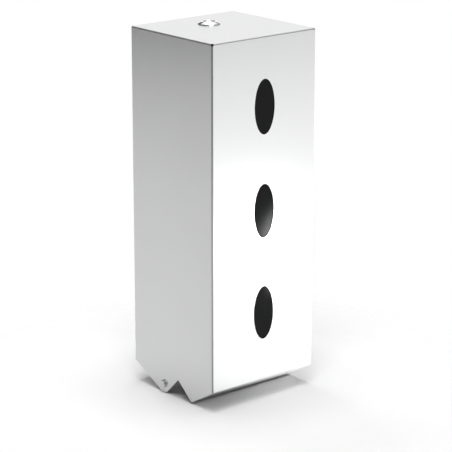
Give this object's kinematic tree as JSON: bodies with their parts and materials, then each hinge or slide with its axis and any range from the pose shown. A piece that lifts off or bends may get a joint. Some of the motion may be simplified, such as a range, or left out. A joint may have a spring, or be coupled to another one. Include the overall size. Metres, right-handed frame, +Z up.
{
  "type": "triple toilet paper dispenser",
  "caption": "Lockable wall dispenser for stacked toilet rolls: a folded steel cover with oval windows swings down off a wall plate with slotted guides and spindles.",
  "frame": {"origin": "middle of the four wall screw slots, on the plane of the wall (the back of the wall plate)", "axes": "+Z up, -Y out of the wall towards the user, +X to the right seen from behind the dispenser's front looking along +Y"},
  "size_m": [0.1592, 0.144, 0.4314],
  "materials": {
    "brushed_steel": "satin, fine brushed grain",
    "plated_steel": "bright plated steel",
    "lock_chrome": "polished chrome",
    "zinc_steel": "zinc plated, slightly mottled",
    "smoked_pane": "dark smoked, satin",
    "black_plastic": "fine moulded grain",
    "nylon": "natural nylon",
    "rubber": "matte"
  },
  "bodies": {
    "housing": {"back_plate": "brushed_steel", "left_guide": "brushed_steel", "right_guide": "brushed_steel", "guide_rivets": "plated_steel", "lock_catch": "zinc_steel", "catch_rivets": "plated_steel", "cover_buffers": "rubber", "left_hinge_pin": "plated_steel", "right_hinge_pin": "plated_steel", "hinge_washers": "nylon", "pin_retainers": "zinc_steel"},
    "cover": {"cover_shell": "brushed_steel", "window_pane_top": "smoked_pane", "window_pane_middle": "smoked_pane", "window_pane_bottom": "smoked_pane", "pane_clips": "zinc_steel", "lock_body": "lock_chrome", "lock_nut": "zinc_steel"},
    "lock": {"lock_plug": "lock_chrome", "lock_cam": "zinc_steel", "cam_screw": "plated_steel"},
    "lower_spindle": {"lower_axle": "plated_steel", "lower_bushings": "nylon"},
    "lower_roll_tube": {"lower_roller": "black_plastic"},
    "middle_spindle": {"middle_axle": "plated_steel", "middle_bushings": "nylon"},
    "middle_roll_tube": {"middle_roller": "black_plastic"},
    "top_spindle": {"top_axle": "plated_steel", "top_bushings": "nylon"},
    "top_roll_tube": {"top_roller": "black_plastic"}
  },
  "joints": [
    {"name": "cover_hinge", "type": "hinge", "parent": "housing", "child": "cover", "pos_m": [0, -0.054, -0.21575], "axis": [1, 0, 0], "range_deg": [0, 130]},
    {"name": "lock_turn", "type": "hinge", "parent": "cover", "child": "lock", "pos_m": [0, -0.0465, 0.19], "axis": [0, 0, -1], "range_deg": [0, 90]},
    {"name": "lower_spindle_lift", "type": "slide", "parent": "housing", "child": "lower_spindle", "axis": [0, 0, 1], "range_m": [0, 0.006]},
    {"name": "lower_roller_spin", "type": "hinge", "parent": "lower_spindle", "child": "lower_roll_tube", "pos_m": [0, -0.07, -0.12075], "axis": [1, 0, 0], "continuous": true},
    {"name": "middle_spindle_lift", "type": "slide", "parent": "lower_spindle", "child": "middle_spindle", "axis": [0, 0, 1], "range_m": [0, 0.091]},
    {"name": "middle_roller_spin", "type": "hinge", "parent": "middle_spindle", "child": "middle_roll_tube", "pos_m": [0, -0.07, -0.09045], "axis": [1, 0, 0], "continuous": true},
    {"name": "top_spindle_lift", "type": "slide", "parent": "middle_spindle", "child": "top_spindle", "axis": [0, 0, 1], "range_m": [0, 0.091]},
    {"name": "top_roller_spin", "type": "hinge", "parent": "top_spindle", "child": "top_roll_tube", "pos_m": [0, -0.07, -0.06015], "axis": [1, 0, 0], "continuous": true}
  ]
}
